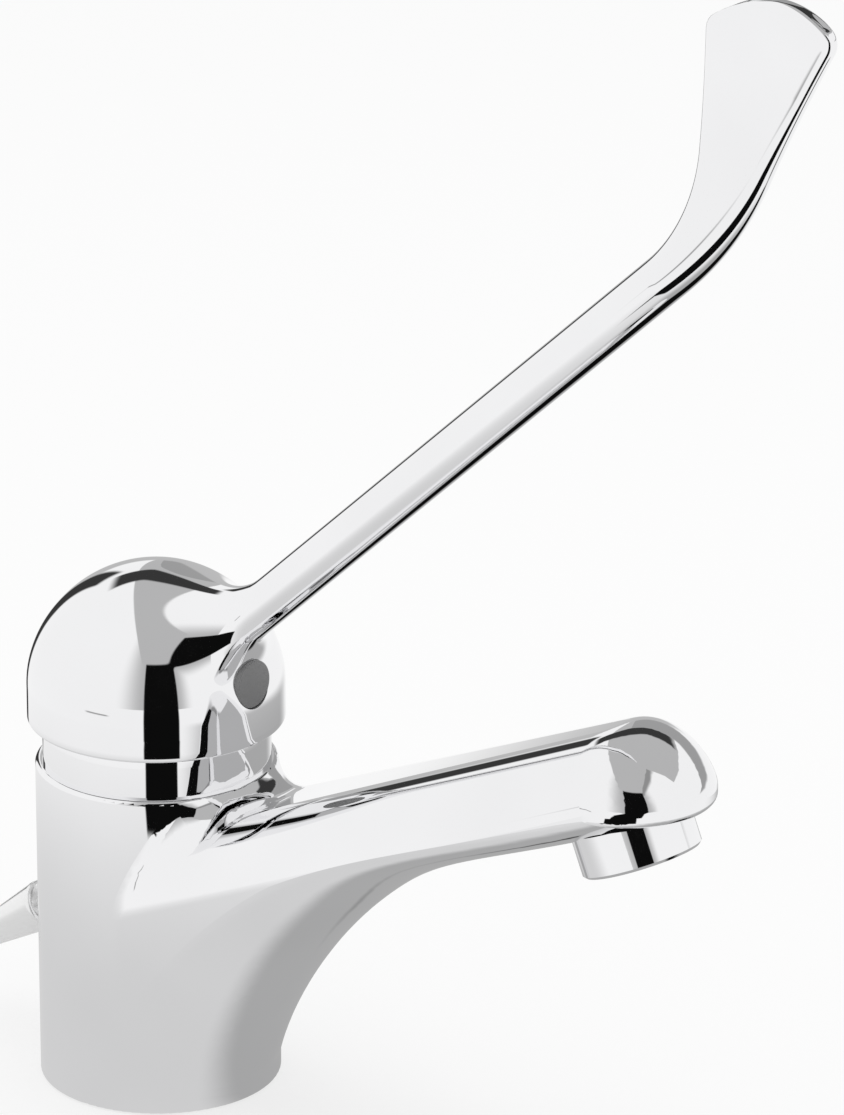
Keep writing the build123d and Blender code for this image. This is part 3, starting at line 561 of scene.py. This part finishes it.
@dataclass
class Studio:
    """White studio: camera, floor, lamp and world. Lengths are in metres."""

    azimuth: float = 38.5
    elevation: float = 21.0
    distance: float = 1.6
    look_at: tuple[float, float, float] = (0.0425, 0.0338, 0.1129)
    focal_pixels: float = 7880.0
    frame_height: float = 1115.0
    sensor: float = 36.0
    clip_end: float = 60.0
    floor_size: float = 12.0
    floor_drop: float = 0.0002
    floor_level: float = 0.86
    floor_glow: float = 0.7
    background_level: float = 0.906
    fill_level: float = 0.8
    lamp_place: tuple[float, float, float] = (0.1, 0.1, 1.6)
    lamp_size: float = 1.4
    lamp_power: float = 9.0
    tent: Tent = field(default_factory=Tent)

    def camera(self) -> None:
        """Place the camera at the photograph's angle."""
        turn, rise = math.radians(self.azimuth), math.radians(self.elevation)
        back = Vector((math.sin(turn) * math.cos(rise), -math.cos(turn) * math.cos(rise),
                       math.sin(rise)))
        data = bpy.data.cameras.new("camera")
        data.sensor_fit = "VERTICAL"
        data.sensor_height = self.sensor
        data.lens = self.focal_pixels / self.frame_height * self.sensor
        data.clip_end = self.clip_end
        eye = bpy.data.objects.new("camera", data)
        eye.location = Vector(self.look_at) + back * self.distance
        eye.rotation_euler = (-back).to_track_quat("-Z", "Y").to_euler()
        bpy.context.scene.collection.objects.link(eye)
        bpy.context.scene.camera = eye

    def floor(self) -> None:
        """Lay the floor: white to the camera but with a shadow, and glowing with the painted
        reflection of the tent's floor to mirrors.
        """
        bpy.ops.mesh.primitive_plane_add(size=self.floor_size, location=(0, 0, -self.floor_drop))
        plane = bpy.context.object
        plane.name = "floor"
        material = bpy.data.materials.new("floor")
        material.use_nodes = True
        wires = Wires(material.node_tree)
        nodes, link = wires.nodes, wires.link
        nodes.clear()
        out = nodes.new("ShaderNodeOutputMaterial")
        seen = nodes.new("ShaderNodeMixShader")
        mirrored = nodes.new("ShaderNodeMixShader")
        glow = nodes.new("ShaderNodeEmission")
        painted_reflection_glow = nodes.new("ShaderNodeEmission")
        matt = nodes.new("ShaderNodeBsdfDiffuse")
        path = nodes.new("ShaderNodeLightPath")
        place = nodes.new("ShaderNodeTexCoord")
        matt.inputs["Color"].default_value = grey(self.floor_level)
        camera_share = wires.math("MULTIPLY", path.outputs["Is Camera Ray"], self.floor_glow)
        # painted reflection: the floor glows with the tent's levels for mirror rays only
        link(self.tent.ground(wires, place.outputs["Object"]), painted_reflection_glow.inputs["Color"])
        link(camera_share, seen.inputs["Fac"])
        link(matt.outputs["BSDF"], seen.inputs[1])
        link(glow.outputs["Emission"], seen.inputs[2])
        link(path.outputs["Is Glossy Ray"], mirrored.inputs["Fac"])
        link(seen.outputs["Shader"], mirrored.inputs[1])
        link(painted_reflection_glow.outputs["Emission"], mirrored.inputs[2])
        link(mirrored.outputs["Shader"], out.inputs["Surface"])
        plane.data.materials.append(material)

    def world(self) -> None:
        """Give the world a white background, a plain level of light and the painted reflection of
        the tent for mirrors.
        """
        world = bpy.data.worlds.new("studio")
        bpy.context.scene.world = world
        world.use_nodes = True
        wires = Wires(world.node_tree)
        nodes, link = wires.nodes, wires.link
        nodes.clear()
        out = nodes.new("ShaderNodeOutputWorld")
        seen = nodes.new("ShaderNodeBackground")
        fill = nodes.new("ShaderNodeBackground")
        mirrored = nodes.new("ShaderNodeBackground")
        seen.inputs["Color"].default_value = grey(self.background_level)
        fill.inputs["Color"].default_value = grey(self.fill_level)
        path = nodes.new("ShaderNodeLightPath")
        place = nodes.new("ShaderNodeTexCoord")
        camera_mix = nodes.new("ShaderNodeMixShader")
        mirror_mix = nodes.new("ShaderNodeMixShader")
        # painted reflection: only mirror rays meet the tent's levels
        link(self.tent.sky(wires, place.outputs["Generated"]), mirrored.inputs["Color"])
        link(path.outputs["Is Camera Ray"], camera_mix.inputs["Fac"])
        link(fill.outputs["Background"], camera_mix.inputs[1])
        link(seen.outputs["Background"], camera_mix.inputs[2])
        link(path.outputs["Is Glossy Ray"], mirror_mix.inputs["Fac"])
        link(camera_mix.outputs["Shader"], mirror_mix.inputs[1])
        link(mirrored.outputs["Background"], mirror_mix.inputs[2])
        link(mirror_mix.outputs["Shader"], out.inputs["Surface"])

    def lamp(self) -> None:
        """Hang a soft square lamp that faces the mixer and stays out of its reflections."""
        data = bpy.data.lights.new("top_lamp", "AREA")
        data.size = self.lamp_size
        data.energy = self.lamp_power
        lamp = bpy.data.objects.new("top_lamp", data)
        lamp.location = self.lamp_place
        aim = Vector(self.look_at) - Vector(self.lamp_place)
        lamp.rotation_euler = aim.to_track_quat("-Z", "Y").to_euler()
        lamp.visible_glossy = False
        bpy.context.scene.collection.objects.link(lamp)

    def build(self) -> None:
        """Build the whole studio."""
        self.camera()
        self.floor()
        self.world()
        self.lamp()
        bpy.context.scene.view_settings.view_transform = "Standard"


def deselect() -> None:
    """Leave nothing selected, as an operator acts on all that is."""
    bpy.ops.object.select_all(action="DESELECT")


def take(piece: bpy.types.Object) -> None:
    """Make a piece the only selected one and the active one.

    Args:
        piece: The piece.
    """
    deselect()
    piece.select_set(True)
    bpy.context.view_layer.objects.active = piece


def carve(piece: bpy.types.Object, tool: bpy.types.Object, way: Carving) -> None:
    """Cut a tool out of a piece, or join it on, and throw the tool away.

    Args:
        piece: Closed mesh that is changed.
        tool: Closed mesh that cuts or joins.
        way: Whether it cuts or joins.
    """
    modifier = piece.modifiers.new("carve", "BOOLEAN")
    modifier.operation = way.value
    modifier.object = tool
    modifier.solver = "EXACT"
    take(piece)
    bpy.ops.object.modifier_apply(modifier="carve")
    bpy.data.objects.remove(tool, do_unlink=True)


def settle(piece: bpy.types.Object, name: str, angle: float) -> None:
    """Put a piece's place into its mesh, shade it smooth and name it.

    Args:
        piece: Finished piece.
        name: Its name.
        angle: Largest angle in degrees that is still shaded smooth.
    """
    take(piece)
    bpy.ops.object.transform_apply(location=True, rotation=True, scale=True)
    bpy.ops.object.shade_smooth_by_angle(angle=math.radians(angle))
    piece.name = name
    piece.data.name = name


@dataclass
class SubAssembly:
    """Pieces that are fitted together, each with its finish."""

    materials: dict[Surface, bpy.types.Material]
    surfaces: ClassVar[dict[str, Surface]] = {}

    def dress(self) -> None:
        """Give each CAD piece its finish and log it."""
        for node, surface in self.surfaces.items():
            material = self.materials[surface]
            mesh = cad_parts[node].data
            for index in range(max(len(mesh.materials), 1)):
                if mesh.materials:
                    mesh.materials[index] = material
                else:
                    mesh.materials.append(material)
            log.info("%s: %s", node, surface.value)

    def build(self) -> None:
        """Build shapes that the CAD pieces don't have. Most sub-assemblies need none."""


class BodyCasting(SubAssembly):
    """Column and spout with the seal under their foot and the cover round their neck."""

    surfaces = {"body": Surface.CHROME, "base_seal": Surface.RUBBER, "cover_ring": Surface.CHROME}


class Cartridge(SubAssembly):
    """Ceramic disc cartridge with the nut that holds it down."""

    surfaces = {
        "retaining_nut": Surface.BRASS,
        "cartridge_base": Surface.GREY_PLASTIC,
        "port_seals": Surface.RUBBER,
        "fixed_disc": Surface.CERAMIC,
        "moving_disc": Surface.CERAMIC,
        "disc_carrier": Surface.WHITE_PLASTIC,
        "cartridge_housing": Surface.GREY_PLASTIC,
        "spindle_guide": Surface.WHITE_PLASTIC,
        "pivot_pin": Surface.STEEL,
        "spindle": Surface.BRASS,
    }


class Aerator(SubAssembly):
    """Collar under the nose with its seal, insert and screen."""

    surfaces = {
        "aerator_housing": Surface.CHROME,
        "aerator_gasket": Surface.RUBBER,
        "flow_regulator": Surface.DARK_PLASTIC,
        "aerator_screen": Surface.STEEL,
    }


class WasteControl(SubAssembly):
    """Lever behind the column with its pin and the rod that it lifts."""

    surfaces = {"waste_lever": Surface.SATIN, "waste_pin": Surface.STEEL, "lift_rod": Surface.BRASS}


@dataclass
class Handle(SubAssembly):
    """Dome, lever rod and paddle in one casting, with the button in front. Sizes are in mm.

    The casting's skin is a grid of rings of equally many points, from the paddle's end over the
    rod, its root and the dome to the inner dome. Fields that end in steps count rings, and those
    that begin with cast steer the search for the surface where the root flows into the dome.
    """

    surfaces = {
        "handle": Surface.CHROME,
        "index_button": Surface.INDEX,
        "grub_screw": Surface.STEEL,
        "spindle_insert": Surface.WHITE_PLASTIC,
    }
    around: int = 144
    dome_radius: float = 26.5
    dome_rise: float = 25.3
    side_turn: float = math.radians(15.0)
    rim: float = 78.5
    rim_edge: float = 0.6
    rim_steps: int = 5
    skirt_levels: tuple[float, ...] = (81.6, 80.2)
    shoulder: float = 86.0
    wall: float = 1.7
    core_radius: float = 21.4
    core_rise: float = 21.0
    core_step: float = 1.0
    core_steps: int = 12
    rod_base: float = 83.1
    rod_rise: float = math.radians(42.4)
    rod_radius: float = 4.85
    rod_length: float = 174.0
    rod_steps: int = 24
    root_below: float = 6.0
    root_above: float = 15.0
    root_reach: float = 46.0
    root_steps: int = 84
    root_crowding: float = 1.5
    bend_radius: float = 55.0
    bend_turn: float = math.radians(33.0)
    paddle_length: float = 32.0
    paddle_width: float = 31.0
    paddle_thickness: float = 3.8
    paddle_flare: float = 1.6
    paddle_taper: float = 54.0
    round_power: float = 2.0
    square_power: float = 4.0
    square_growth: int = 3
    arch_radius: float = 30.0
    arch_shift: float = -0.2
    arch_rise: float = 2.0
    arch_rounds: int = 12
    end_run: float = 14.0
    end_steps: int = 12
    corner: float = 4.5
    corner_steps: int = 14
    edge: float = 1.2
    blade_root: float = 14.0
    blade_steps: int = 60
    cast_from: float = 10.0
    cast_root: float = 60.0
    cast_skirt: float = 40.0
    cast_halvings: int = 34
    weld: float = 0.00001
    bar_sides: int = 96
    button_level: float = 91.6
    button_radius: float = 5.0
    button_back: float = 22.8
    button_face: float = 26.1
    button_gap: float = 0.08
    button_seat: float = 12.0
    button_edge: float = 0.35
    button_edge_steps: int = 4
    stem_radius: float = 2.7
    stem_length: float = 4.0
    stem_overlap: float = 0.2
    socket_radius: float = 9.5
    socket_level: float = 84.0
    socket_depth: float = 19.0
    socket_side: float = 12.1
    socket_over: float = 1.0
    smooth_angle: float = 40.0

    def __post_init__(self) -> None:
        """Work out the arcs of the dome, the rod's directions and the end of the bend."""
        turn = self.side_turn
        narrowing = 1 + math.tan(turn) - 1 / math.cos(turn)
        self.side_centre = (self.dome_radius - self.dome_rise) / narrowing
        self.side_radius = self.dome_radius - self.side_centre
        self.crown_centre = self.shoulder - self.side_centre * math.tan(turn)
        self.crown_radius = self.shoulder + self.dome_rise - self.crown_centre
        self.blade_length = self.bend_radius * self.bend_turn + self.paddle_length
        self.rod_run = Vector((math.cos(self.rod_rise), 0, math.sin(self.rod_rise)))
        self.rod_wide = Vector((math.sin(self.rod_rise), 0, -math.cos(self.rod_rise)))

    def lever_frame(self, distance: float) -> tuple[Vector, Vector, Vector]:
        """Middle, width direction and run of the lever at a distance beyond the bend's start.

        Args:
            distance: Distance in mm, below 0 on the straight rod.

        Returns:
            Three vectors in the middle plane.
        """
        turned = min(max(distance / self.bend_radius, 0.0), self.bend_turn)
        straight = distance - turned * self.bend_radius
        rise, slope = self.rod_rise, self.rod_rise + turned
        x = self.rod_length * math.cos(rise)
        z = self.rod_base + self.rod_length * math.sin(rise)
        x += self.bend_radius * (math.sin(slope) - math.sin(rise)) + straight * math.cos(slope)
        z += self.bend_radius * (math.cos(rise) - math.cos(slope)) + straight * math.sin(slope)
        return (Vector((x, 0, z)), Vector((math.sin(slope), 0, -math.cos(slope))),
                Vector((math.cos(slope), 0, math.sin(slope))))

    def lever_halves(self, distance: float) -> tuple[float, float, float]:
        """Half width, half thickness and squareness of the lever's section.

        Args:
            distance: Distance in mm beyond the start of the bend.

        Returns:
            Half width, half thickness and the power of the superellipse.
        """
        beyond = max(distance, 0.0)
        width = 2 * self.rod_radius
        width += (self.paddle_width - width) * (beyond / self.blade_length) ** self.paddle_flare
        thick = self.paddle_thickness
        left = max(1 - beyond / self.paddle_taper, 0.0)
        thick += (2 * self.rod_radius - thick) * left ** self.paddle_flare
        share = min((distance + self.blade_root) / (self.blade_length + self.blade_root), 1.0)
        power = self.round_power + self.square_power * max(share, 0.0) ** self.square_growth
        return width / 2, thick / 2, power

    def section(self, distance: float) -> list[tuple[float, float]]:
        """Points round the lever, in its width and thickness.

        Args:
            distance: Distance in mm beyond the start of the bend.

        Returns:
            Pairs of reach across the width and through the thickness.
        """
        half_width, half_thick, power = self.lever_halves(distance)
        points = []
        for step in range(self.around):
            turn = math.tau * step / self.around
            across, side = math.cos(turn), math.copysign(1.0, math.sin(turn))
            through = max(1 - abs(across) ** power, 0.0) ** (1 / power)
            points.append((half_width * across, half_thick * side * through))
        return points

    def ring_at(self, distance: float) -> Ring:
        """One ring of the lever's skin.

        Args:
            distance: Distance in mm beyond the start of the bend.

        Returns:
            Vectors round the lever.
        """
        middle, wide, _ = self.lever_frame(distance)
        return [middle + wide * across + Vector((0, through, 0))
                for across, through in self.section(distance)]

    def end_limits(self, section: list[tuple[float, float]]) -> list[float]:
        """How far each point of a section can run before it meets the arch of the paddle's end.

        Args:
            section: Pairs of reach where the end begins.

        Returns:
            One distance in mm for each point.
        """
        start = self.blade_length - self.end_run
        middle, wide, run = self.lever_frame(start)
        top = self.lever_frame(self.blade_length)[0] + Vector((self.arch_shift, 0, self.arch_rise))
        centre = top - Vector((0, 0, self.arch_radius))
        first_width = self.lever_halves(start)[0]
        limits = []
        for across, _ in section:
            limit = self.end_run
            for _ in range(self.arch_rounds):
                foot = middle + wide * (across / first_width * self.lever_halves(start + limit)[0])
                along = run.dot(centre - foot)
                clear = self.arch_radius ** 2 - ((centre - foot) - run * along).length_squared
                limit = 0.5 * (limit + along + math.sqrt(max(clear, 0.0)))
            limits.append(limit)
        return limits

    def arched_end(self) -> list[Ring]:
        """Rings that run out to the arched end of the paddle, with its corners and edges.

        Returns:
            Rings from the very end towards the root.
        """
        start = self.blade_length - self.end_run
        middle, wide, run = self.lever_frame(start)
        first_width, half_thick, _ = self.lever_halves(start)
        section = self.section(start)
        limits = self.end_limits(section)
        rings = []
        steps, plain = self.corner_steps, self.end_steps
        for step in range(steps + plain - 1, -1, -1):
            turn = math.radians(90) * max(step - plain + 1, 0) / steps
            deep = self.corner * (1 - math.sin(turn))
            lost = 0.0
            if deep < self.edge:
                lost = self.edge - math.sqrt(self.edge ** 2 - (self.edge - deep) ** 2)
            ring = []
            for (across, through), limit in zip(section, limits):
                place = limit - deep
                if step < plain:
                    place *= (step + 0.5) / (plain - 0.5)
                half = self.lever_halves(start + place)[0] - self.corner * (1 - math.cos(turn))
                thin = 1 - lost / half_thick
                ring.append(middle + wide * (across / first_width * half) + run * place
                            + Vector((0, through * thin, 0)))
            rings.append(ring)
        return rings

    def outside(self, point: Vector) -> float:
        """How far a point lies outside the dome and the rod's root, which flow together.

        Args:
            point: Point in mm.

        Returns:
            Distance in mm, below 0 inside.
        """
        reach = math.hypot(point.x, point.y)
        over, beside = point.z - self.shoulder, reach - self.side_centre
        if point.z < self.shoulder:
            dome = reach - self.dome_radius
        elif math.atan2(over, beside) < self.side_turn:
            dome = math.hypot(beside, over) - self.side_radius
        else:
            dome = math.hypot(reach, point.z - self.crown_centre) - self.crown_radius
        arm = point - Vector((0, 0, self.rod_base))
        off = arm - self.rod_run * arm.dot(self.rod_run)
        rod = off.length - self.rod_radius
        below = 0.5 + 0.5 * off.dot(self.rod_wide) / max(off.length, TINY)
        blend = self.root_above + (self.root_below - self.root_above) * below
        corner = math.hypot(max(blend - dome, 0.0), max(blend - rod, 0.0))
        return max(blend, min(dome, rod)) - corner

    def cast(self, start: Vector, way: Vector, far: float) -> Vector:
        """Find where a line from inside leaves the dome and the root.

        Args:
            start: Point inside, in mm.
            way: Direction of length 1.
            far: Distance in mm that is surely outside.

        Returns:
            The point on the skin.
        """
        low, high = self.cast_from, far
        for _ in range(self.cast_halvings):
            middle = (low + high) / 2
            if self.outside(start + way * middle) < 0:
                low = middle
            else:
                high = middle
        return start + way * high

    def root_rings(self) -> list[Ring]:
        """Rings from the straight rod over its root and the dome.

        Returns:
            Rings that follow those of the rod.
        """
        base = Vector((0, 0, self.rod_base))
        first = math.atan(self.rod_radius / self.root_reach)
        rings = []
        for step in range(1, self.root_steps + 1):
            share = (step / self.root_steps) ** self.root_crowding
            ring = []
            for index in range(self.around):
                turn = math.tau * index / self.around
                last = math.atan2(math.tan(self.rod_rise), math.cos(turn))
                lean = first + (last - first) * share
                side = self.rod_wide * math.cos(turn) + Vector((0, math.sin(turn), 0))
                way = self.rod_run * math.cos(lean) + side * math.sin(lean)
                ring.append(self.cast(base, way, self.cast_root))
            rings.append(ring)
        return rings

    def rim_rings(self, above: Ring) -> list[Ring]:
        """Rings from the dome's side down to the rim and up inside the dome.

        Args:
            above: Ring of the dome that they follow.

        Returns:
            Rings down to the rim, and up to the inner dome.
        """
        flat = [Vector((p.x, p.y, 0)).normalized() for p in above]
        rings = []
        for level in (*self.skirt_levels, self.rim + self.rim_edge):
            rings.append([self.cast(Vector((0, 0, level)), way, self.cast_skirt) for way in flat])
        profile = []
        for step in range(1, self.rim_steps + 1):
            turn = math.radians(90) * step / self.rim_steps
            profile.append((self.dome_radius - self.rim_edge * (1 - math.cos(turn)),
                            self.rim + self.rim_edge * (1 - math.sin(turn))))
        inner, spring = self.dome_radius - self.wall, self.shoulder + self.core_step
        profile += [(inner, self.rim), (inner, self.shoulder), (self.core_radius, spring)]
        for step in range(1, self.core_steps):
            turn = math.radians(90) * step / self.core_steps
            profile.append((self.core_radius * math.cos(turn),
                            spring + self.core_rise * math.sin(turn)))
        for reach, level in profile:
            rings.append([way * reach + Vector((0, 0, level)) for way in flat])
        return rings

    def all_rings(self) -> list[Ring]:
        """Rings of the whole casting, from the paddle's end to the top of the inner dome.

        Returns:
            Rings with the same number of points.
        """
        rings = self.arched_end()
        begin = self.blade_length - self.end_run
        blade, steps = begin + self.blade_root, self.blade_steps
        rings += [self.ring_at(begin - step * blade / steps) for step in range(steps + 1)]
        plain, steps = self.rod_length - self.blade_root - self.root_reach, self.rod_steps
        rings += [self.ring_at(-self.blade_root - plain * step / steps)
                  for step in range(1, steps + 1)]
        root = self.root_rings()
        return rings + root + self.rim_rings(root[-1])

    def skin(self) -> bpy.types.Object:
        """Make the casting's skin as one closed grid of rings.

        Returns:
            The new object, in metres.
        """
        rings = self.all_rings()
        count = self.around
        faces = []
        for row in range(len(rings) - 1):
            near, far = row * count, (row + 1) * count
            for step in range(count):
                beside = (step + 1) % count
                faces.append((near + step, far + step, far + beside, near + beside))
        for step in range(count // 2):
            corners = (step, step + 1, count - step - 1, (count - step) % count)
            faces.append(tuple(dict.fromkeys(corners)))
        last = (len(rings) - 1) * count
        faces.append(tuple(last + step for step in range(count)))
        mesh = bpy.data.meshes.new("handle_casting")
        mesh.from_pydata([tuple(p * MM) for ring in rings for p in ring], [], faces)
        mesh.update()
        piece = bpy.data.objects.new("handle_casting", mesh)
        bpy.context.scene.collection.objects.link(piece)
        take(piece)
        bpy.ops.object.mode_set(mode="EDIT")
        bpy.ops.mesh.select_all(action="SELECT")
        bpy.ops.mesh.remove_doubles(threshold=self.weld * MM)
        bpy.ops.mesh.normals_make_consistent(inside=False)
        bpy.ops.object.mode_set(mode="OBJECT")
        return piece

    def bar(self, radius: float, start: tuple[float, float, float], length: float,
            flat: bool) -> bpy.types.Object:
        """Add a round bar along +X or +Z.

        Args:
            radius: Radius in mm.
            start: Middle of its first end, in mm.
            length: Length in mm.
            flat: True for a bar along +X, False for one along +Z.

        Returns:
            The new object.
        """
        half = Vector((length / 2, 0, 0) if flat else (0, 0, length / 2))
        deselect()
        bpy.ops.mesh.primitive_cylinder_add(
            vertices=self.bar_sides, radius=radius * MM, depth=length * MM,
            location=(Vector(start) + half) * MM, rotation=(0, math.radians(90) * flat, 0))
        return bpy.context.object

    def socket_hole(self) -> bpy.types.Object:
        """Add the square block that cuts the socket for the spindle.

        Returns:
            The new object.
        """
        level = self.socket_level + self.socket_depth / 2 - self.socket_over / 2
        side, depth = self.socket_side * MM, (self.socket_depth + self.socket_over) * MM
        deselect()
        bpy.ops.mesh.primitive_cube_add(size=1, location=(0, 0, level * MM),
                                        scale=(side, side, depth))
        return bpy.context.object

    def casting(self) -> bpy.types.Object:
        """Build the casting with the seat of the button and the socket of the spindle.

        Returns:
            The finished piece.
        """
        piece = self.skin()
        seat = self.bar(self.button_radius + self.button_gap,
                        (self.button_back, 0, self.button_level), self.button_seat, True)
        carve(piece, seat, Carving.CUT)
        inner_top = self.shoulder + self.core_rise
        post = self.bar(self.socket_radius, (0, 0, self.socket_level),
                        inner_top - self.socket_level, False)
        carve(piece, post, Carving.JOIN)
        carve(piece, self.socket_hole(), Carving.CUT)
        settle(piece, "handle_casting", self.smooth_angle)
        piece.data.materials.append(self.materials[Surface.CHROME])
        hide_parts("handle")
        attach(piece, "lever")
        return piece

    def button(self) -> bpy.types.Object:
        """Build the button, with a flat face and a soft edge, and its stem.

        Returns:
            The finished piece.
        """
        cap = self.bar(self.button_radius, (self.button_back, 0, self.button_level),
                       self.button_face - self.button_back, True)
        bevel = cap.modifiers.new("edge", "BEVEL")
        bevel.width = self.button_edge * MM
        bevel.segments = self.button_edge_steps
        bevel.limit_method = "ANGLE"
        bpy.ops.object.modifier_apply(modifier="edge")
        stem_start = (self.button_back - self.stem_length, 0, self.button_level)
        stem = self.bar(self.stem_radius, stem_start, self.stem_length + self.stem_overlap, True)
        carve(cap, stem, Carving.JOIN)
        settle(cap, "index_button_cap", self.smooth_angle)
        cap.data.materials.append(self.materials[Surface.INDEX])
        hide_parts("index_button")
        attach(cap, "lever")
        return cap

    def build(self) -> None:
        """Build the casting and the button, and log them."""
        for piece in (self.casting(), self.button()):
            log.info("%s: %d faces", piece.name, len(piece.data.polygons))


def main() -> None:
    """Build the studio and the sub-assemblies in order."""
    Studio().build()
    uneven = Unevenness().build()
    materials = {surface: finish.build(uneven) for surface, finish in FINISHES.items()}
    for kind in (BodyCasting, Cartridge, Handle, Aerator, WasteControl):
        group = kind(materials)
        group.dress()
        group.build()


if __name__ == "__main__":
    main()
